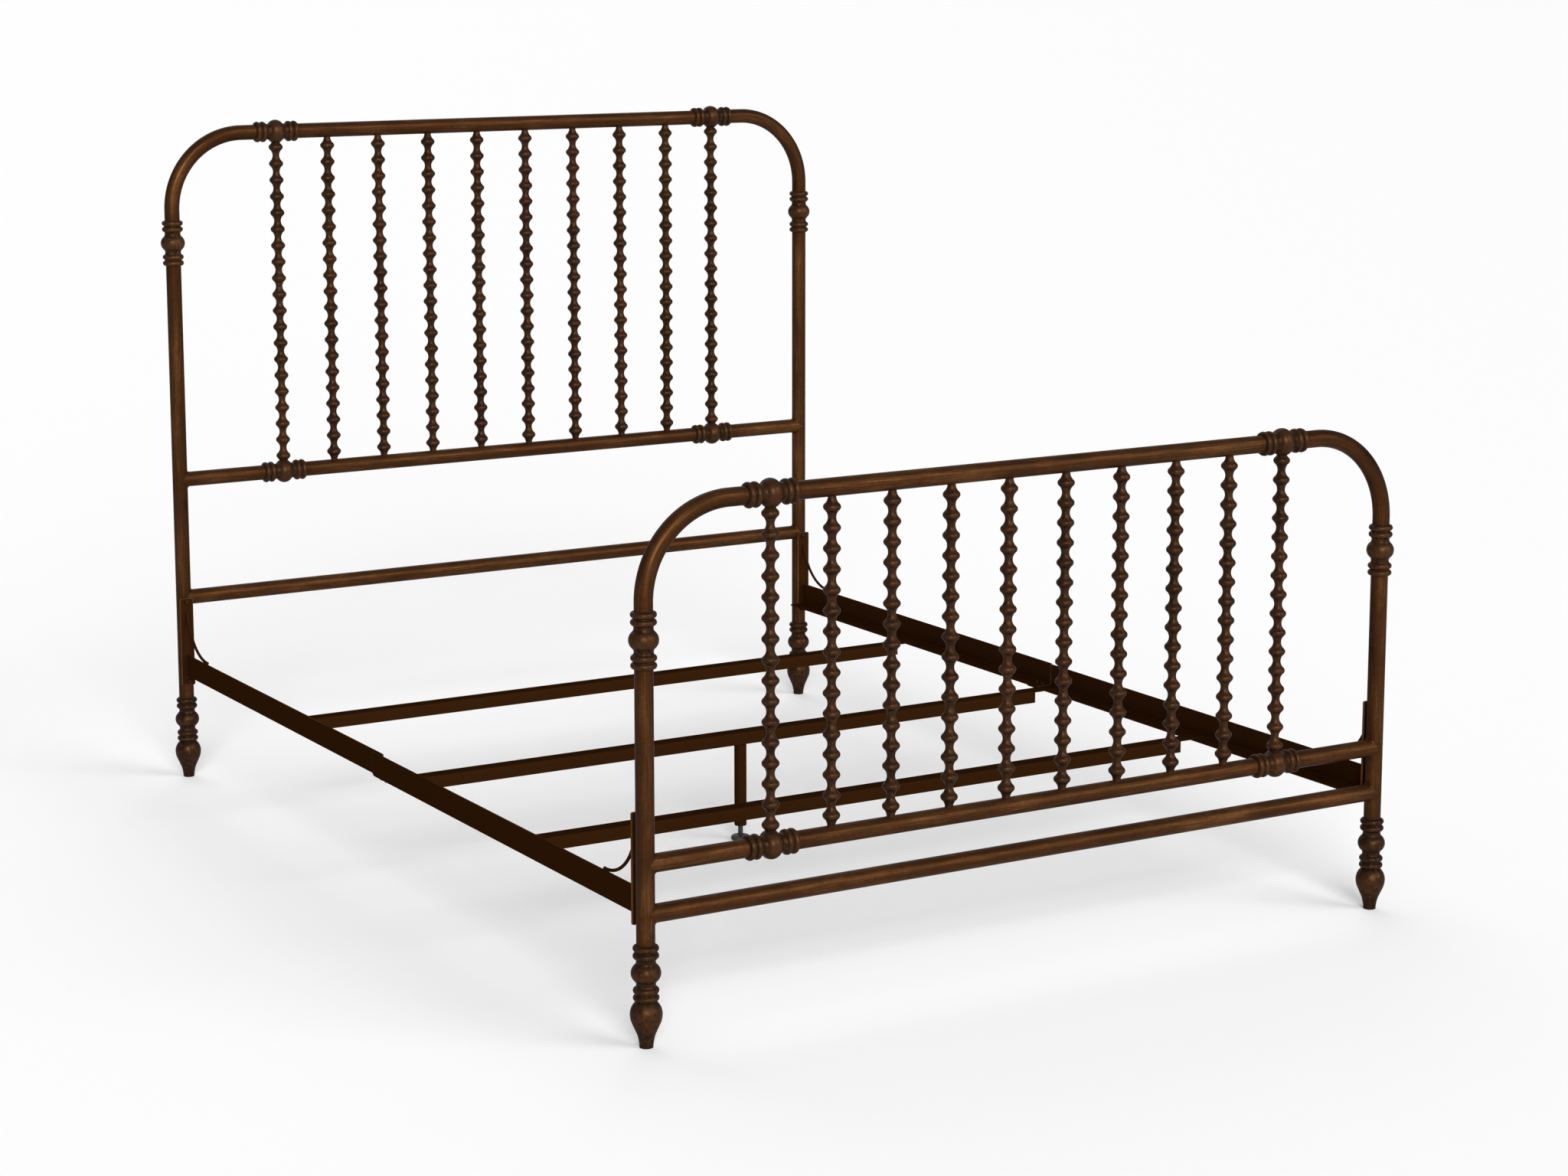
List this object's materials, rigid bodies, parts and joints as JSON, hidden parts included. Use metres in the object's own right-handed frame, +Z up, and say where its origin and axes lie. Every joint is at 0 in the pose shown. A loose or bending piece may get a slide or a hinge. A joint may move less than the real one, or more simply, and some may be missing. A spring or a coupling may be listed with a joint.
{
  "type": "metal bed frame",
  "caption": "Queen-size metal bed frame: arched tube headboard and footboard with beaded spindles, cast collars and turned feet, joined by lapped angle side rails with a levelling centre leg.",
  "frame": {"origin": "on the floor, at the centre of the bed's length and width", "axes": "+X to the right of the bed seen from its foot, +Y from the footboard to the headboard, +Z up"},
  "size_m": [1.615, 2.155, 1.4255],
  "materials": {
    "tube": "rubbed dark bronze lacquer on steel tube, satin, streaked lighter along the tube",
    "casting": "rubbed dark bronze lacquer on castings, satin, lighter on the raised beads",
    "rail": "near-black brown satin paint on angle steel",
    "fastener": "blackened steel",
    "glide": "moulded black plastic"
  },
  "bodies": {
    "frame": {"centre_leg": "rail", "end_slats": "rail", "foot_bracket_left": "rail", "foot_bracket_right": "rail", "foot_cross_tube": "tube", "foot_lower_collar_left": "casting", "foot_lower_collar_right": "casting", "foot_lower_rail": "tube", "foot_post_collar_left": "casting", "foot_post_collar_right": "casting", "foot_post_left": "tube", "foot_post_right": "tube", "foot_spindle_01": "casting", "foot_spindle_02": "casting", "foot_spindle_03": "casting", "foot_spindle_04": "casting", "foot_spindle_05": "casting", "foot_spindle_06": "casting", "foot_spindle_07": "casting", "foot_spindle_08": "casting", "foot_spindle_09": "casting", "foot_spindle_10": "casting", "foot_top_collar_left": "casting", "foot_top_collar_right": "casting", "foot_top_rail": "tube", "foot_turned_foot_left": "casting", "foot_turned_foot_right": "casting", "head_bracket_left": "rail", "head_bracket_right": "rail", "head_cross_tube": "tube", "head_lower_collar_left": "casting", "head_lower_collar_right": "casting", "head_lower_rail": "tube", "head_post_collar_left": "casting", "head_post_collar_right": "casting", "head_post_left": "tube", "head_post_right": "tube", "head_spindle_01": "casting", "head_spindle_02": "casting", "head_spindle_03": "casting", "head_spindle_04": "casting", "head_spindle_05": "casting", "head_spindle_06": "casting", "head_spindle_07": "casting", "head_spindle_08": "casting", "head_spindle_09": "casting", "head_spindle_10": "casting", "head_top_collar_left": "casting", "head_top_collar_right": "casting", "head_top_rail": "tube", "head_turned_foot_left": "casting", "head_turned_foot_right": "casting", "left_rail_foot_half": "rail", "left_rail_head_half": "rail", "middle_slat": "rail", "rail_bolts": "fastener", "rail_nuts": "fastener", "right_rail_foot_half": "rail", "right_rail_head_half": "rail"},
    "glide": {"levelling_glide": "glide"}
  },
  "joints": [
    {"name": "glide_height", "type": "slide", "parent": "frame", "child": "glide", "axis": [0, 0, 1], "range_m": [-0.015, 0.015]}
  ]
}
